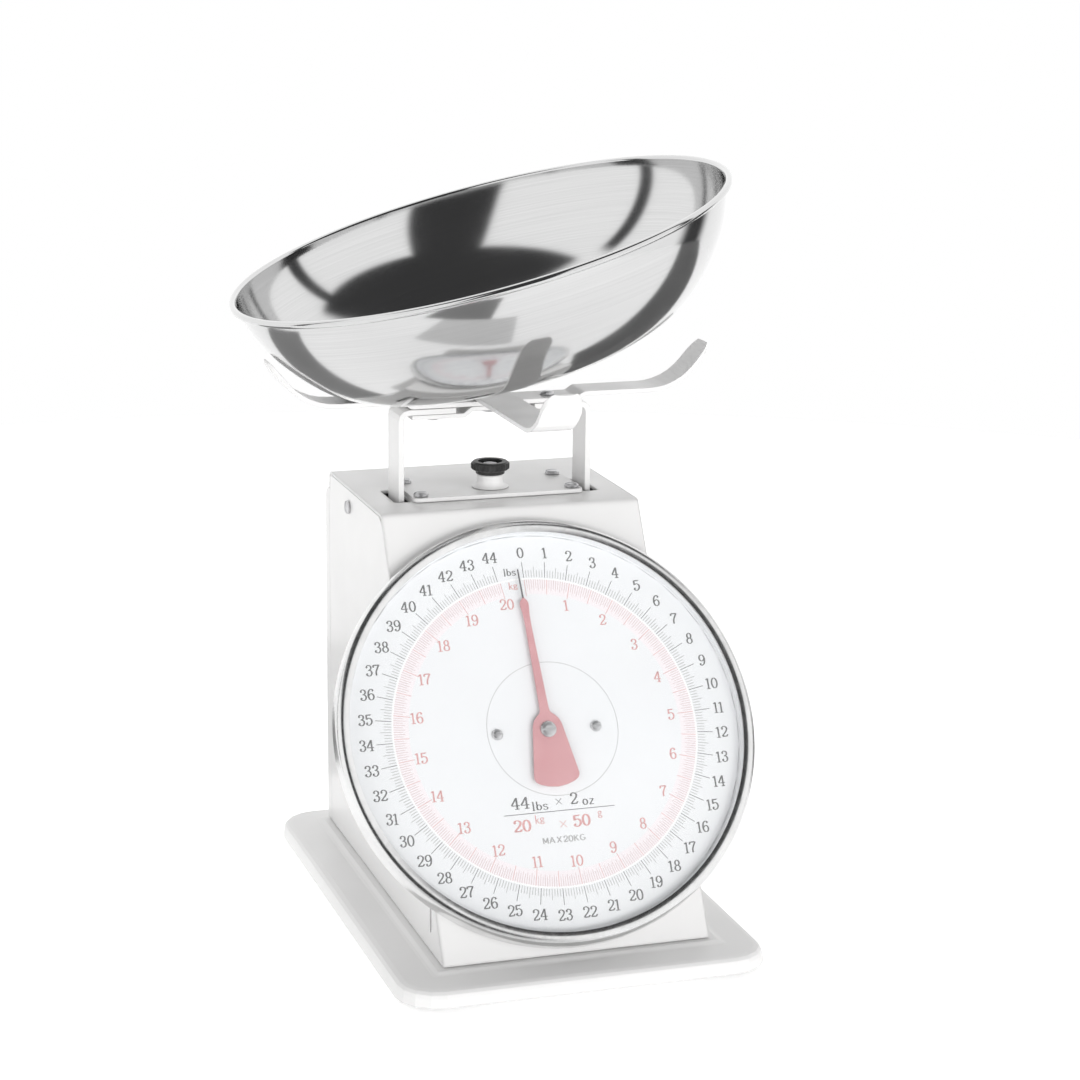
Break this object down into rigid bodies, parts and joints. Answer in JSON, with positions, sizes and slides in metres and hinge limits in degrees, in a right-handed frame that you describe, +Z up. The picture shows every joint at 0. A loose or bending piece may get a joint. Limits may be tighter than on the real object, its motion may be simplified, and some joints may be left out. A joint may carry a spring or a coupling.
{
  "type": "mechanical dial platform scale",
  "caption": "Counter scale with a sloping casing, a large round dial, a spring-loaded yoke and spider, and a loose stainless bowl held tipped up at one side.",
  "frame": {"origin": "on the surface the feet stand on, under the middle of the whole object's box; the casing's middle plane is 6.8 mm to the +X side because the bowl is stored tipped", "axes": "+Z up, the dial faces -Y, +X to the right of someone reading the dial"},
  "size_m": [0.2468, 0.2999, 0.3678],
  "materials": {
    "painted_steel": "smooth off-white enamel, semi-gloss",
    "zinc_plate": "zinc-plated sheet steel",
    "screw_metal": "zinc-plated, slightly worn",
    "spring_steel": "drawn spring wire",
    "gear_brass": "machined brass",
    "black_plastic": "black moulded plastic with ribs",
    "dial_print": "white dial with black and red print",
    "dial_glass": "clear flat pane",
    "bezel_chrome": "polished rolled ring",
    "pointer_red": "satin red enamel",
    "foot_rubber": "black rubber",
    "pan_steel": "polished stainless sheet with a rolled rim"
  },
  "bodies": {
    "casing": {"base_plate": "painted_steel", "foot_front_left": "foot_rubber", "foot_front_right": "foot_rubber", "foot_rear_left": "foot_rubber", "foot_rear_right": "foot_rubber", "front_cover": "painted_steel", "left_side_panel": "painted_steel", "right_side_panel": "painted_steel", "rear_cover": "painted_steel", "inner_frame": "zinc_plate", "top_plate": "painted_steel", "top_screw_1": "screw_metal", "top_screw_2": "screw_metal", "top_screw_3": "screw_metal", "top_screw_4": "screw_metal", "side_screw_left": "screw_metal", "side_screw_right": "screw_metal", "rear_screw_1": "screw_metal", "rear_screw_2": "screw_metal", "rear_screw_3": "screw_metal", "rear_screw_4": "screw_metal", "base_screw_left": "screw_metal", "base_screw_right": "screw_metal", "dial_case": "zinc_plate", "dial_plate": "dial_print", "dial_screw_left": "screw_metal", "dial_screw_right": "screw_metal", "lens": "dial_glass", "bezel": "bezel_chrome", "movement_bracket": "zinc_plate", "knob_bushing": "painted_steel"},
    "platform": {"yoke": "painted_steel", "hub_strap": "painted_steel", "spider_cross_bar": "painted_steel", "spider_long_bar": "painted_steel", "hub_rivet": "screw_metal", "tab_rivet_left": "screw_metal", "tab_rivet_right": "screw_metal", "rack_arm": "zinc_plate", "arm_rivet": "screw_metal"},
    "rack_bar": {"rack": "gear_brass"},
    "pointer_works": {"pointer": "pointer_red", "pointer_screw": "screw_metal", "pinion_shaft": "zinc_plate", "pinion": "gear_brass"},
    "upper_guide": {"upper_link": "zinc_plate"},
    "lower_guide": {"lower_link": "zinc_plate"},
    "zero_adjuster": {"zero_knob": "black_plastic", "adjusting_screw": "screw_metal"},
    "spring_hanger": {"hanger": "zinc_plate", "spring_left": "spring_steel", "spring_right": "spring_steel"},
    "bowl": {"pan": "pan_steel"}
  },
  "joints": [
    {"name": "platform_slide", "type": "slide", "parent": "casing", "child": "platform", "axis": [0, 0, 1], "range_m": [-0.02225, 0.0015], "stiffness_N_per_m": 8818, "springref_m": 0.00095, "deforming": ["spring_left", "spring_right"]},
    {"name": "rack_slide", "type": "slide", "parent": "casing", "child": "rack_bar", "axis": [0, 0.5, 0.866], "range_m": [-0.0258, 0.0018]},
    {"name": "pointer_spin", "type": "hinge", "parent": "casing", "child": "pointer_works", "pos_m": [0.0068, -0.072, 0.105], "axis": [0, -0.866, 0.5], "range_deg": [-352, 24.5]},
    {"name": "upper_link_swing", "type": "hinge", "parent": "casing", "child": "upper_guide", "pos_m": [0.0068, 0.072, 0.1539], "axis": [1, 0, 0], "range_deg": [-2, 26]},
    {"name": "lower_link_swing", "type": "hinge", "parent": "casing", "child": "lower_guide", "pos_m": [0.0068, 0.072, 0.1039], "axis": [1, 0, 0], "range_deg": [-2, 26]},
    {"name": "zero_knob_turn", "type": "hinge", "parent": "casing", "child": "zero_adjuster", "pos_m": [0.0068, 0.021, 0.2145], "axis": [0, 0, 1], "range_deg": [-360, 360]},
    {"name": "hanger_slide", "type": "slide", "parent": "casing", "child": "spring_hanger", "axis": [0, 0, 1], "range_m": [-0.0007, 0.0007]},
    {"name": "pan_tip", "type": "hinge", "parent": "platform", "child": "bowl", "pos_m": [-0.0609, 0.022, 0.3003], "axis": [0, -1, 0], "range_deg": [-15.4, 5]}
  ],
  "couplings": [
    {"joint": "rack_slide", "follows": "platform_slide", "ratio": 1.1547},
    {"joint": "pointer_spin", "follows": "platform_slide", "rad_per_m": 274.93},
    {"joint": "upper_link_swing", "follows": "platform_slide", "rad_per_m": -20.08},
    {"joint": "lower_link_swing", "follows": "platform_slide", "rad_per_m": -20.08},
    {"joint": "zero_knob_turn", "follows": "hanger_slide", "rad_per_m": 8975.9}
  ]
}
